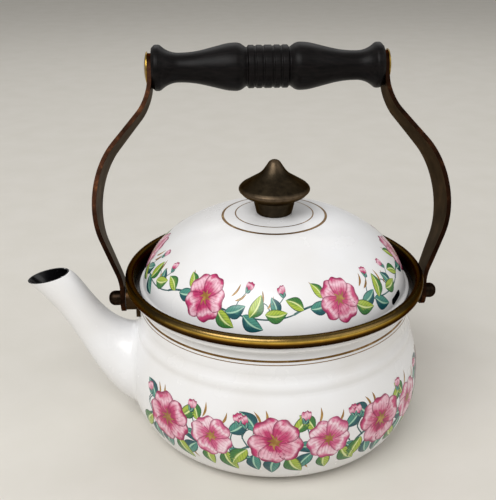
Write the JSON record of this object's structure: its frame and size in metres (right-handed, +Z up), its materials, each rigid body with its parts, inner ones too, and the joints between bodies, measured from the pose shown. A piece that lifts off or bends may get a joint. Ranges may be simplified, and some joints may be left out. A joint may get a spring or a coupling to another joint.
{
  "type": "stove-top kettle",
  "caption": "Enamelled steel stove-top kettle with a short tapered spout, a brass rim band, a lift-off domed lid with a pointed knob, and a swinging strap handle with a turned grip.",
  "frame": {"origin": "middle of the flat base, on the surface the kettle stands on", "axes": "+Z up; the spout points to -X; the handle swings about a line along X"},
  "size_m": [0.2724, 0.19, 0.2377],
  "materials": {
    "enamel": "glossy white enamel, black inside",
    "band_brass": "aged, polished on the edge",
    "strap_bronze": "antique bronze, rubbed to copper on the edges",
    "cap_brass": "satin",
    "knob_bronze": "dark bronze, satin",
    "nut_bronze": "dark bronze",
    "grip_black": "black, satin",
    "steel": "plain"
  },
  "bodies": {
    "kettle": {"body_shell": "enamel", "spout": "enamel", "rim_band": "band_brass", "ear_left": "strap_bronze", "ear_right": "strap_bronze", "ear_rivets_left": "steel", "ear_rivets_right": "steel", "pivot_stud_left": "steel", "pivot_stud_right": "steel", "pivot_washer_left": "steel", "pivot_washer_right": "steel", "cap_nut_left": "nut_bronze", "cap_nut_right": "nut_bronze"},
    "handle": {"grip": "grip_black", "grip_rod": "steel", "handle_arm_left": "strap_bronze", "handle_arm_right": "strap_bronze", "grip_cap_left": "cap_brass", "grip_cap_right": "cap_brass"},
    "lid": {"lid_shell": "enamel", "lid_collar": "enamel", "knob": "knob_bronze", "knob_screw": "steel", "knob_washer": "steel"}
  },
  "joints": [
    {"name": "handle_swing", "type": "hinge", "parent": "kettle", "child": "handle", "pos_m": [0, 0, 0.0868], "axis": [1, 0, 0], "range_deg": [-65, 115]},
    {"name": "lid_lift", "type": "slide", "parent": "kettle", "child": "lid", "axis": [0, 0, 1], "range_m": [0, 0.038]}
  ]
}
